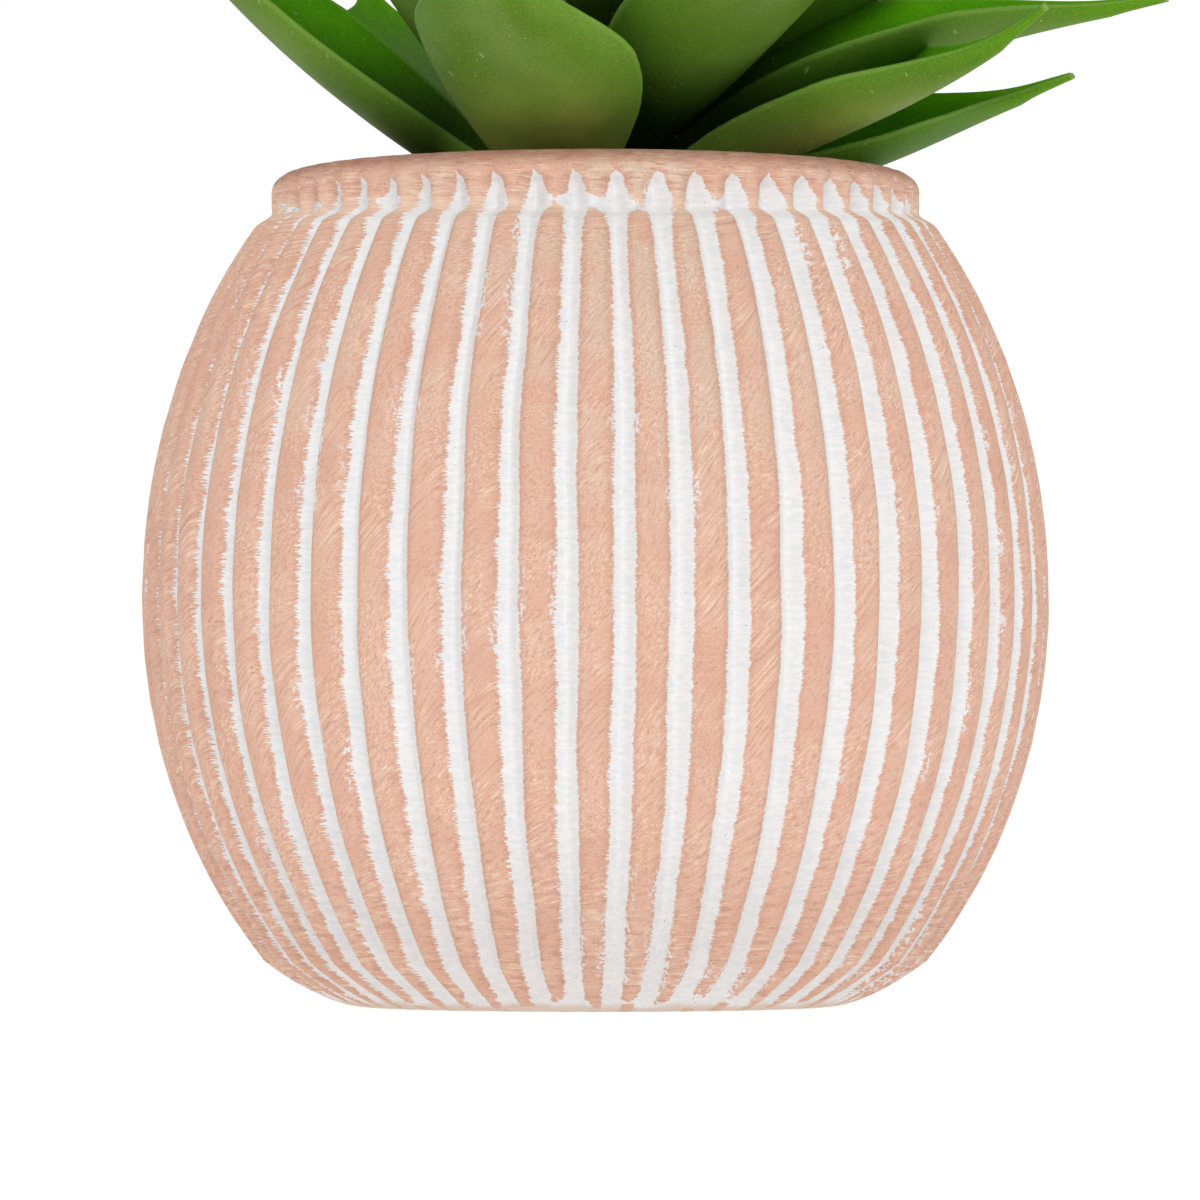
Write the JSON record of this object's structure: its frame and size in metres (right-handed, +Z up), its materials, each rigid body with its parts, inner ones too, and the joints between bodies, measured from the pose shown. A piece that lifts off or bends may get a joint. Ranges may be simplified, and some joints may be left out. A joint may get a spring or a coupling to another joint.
{
  "type": "potted succulent",
  "caption": "Ribbed, globe-shaped cement pot with a whitewashed finish, filled with soil and planted with a rosette of thick, channelled, pointed green leaves.",
  "frame": {"origin": "middle of the pot's flat base, on the pot's axis", "axes": "+Z up along the pot's axis, -Y towards the viewer of the picture, +X to the picture's right"},
  "size_m": [0.1452, 0.1389, 0.1781],
  "materials": {
    "cement": "matte",
    "soil": "matte",
    "stem": "matte",
    "leaf": "satin"
  },
  "bodies": {
    "root": {"pot": "cement", "soil": "soil", "stem": "stem", "leaf_01": "leaf", "leaf_02": "leaf", "leaf_03": "leaf", "leaf_04": "leaf", "leaf_05": "leaf", "leaf_06": "leaf", "leaf_07": "leaf", "leaf_08": "leaf", "leaf_09": "leaf", "leaf_10": "leaf", "leaf_11": "leaf", "leaf_12": "leaf", "leaf_13": "leaf", "leaf_14": "leaf", "leaf_15": "leaf", "leaf_16": "leaf", "leaf_17": "leaf", "leaf_18": "leaf", "leaf_19": "leaf", "leaf_20": "leaf", "leaf_21": "leaf", "leaf_22": "leaf", "leaf_23": "leaf", "leaf_24": "leaf", "leaf_25": "leaf"}
  },
  "joints": []
}
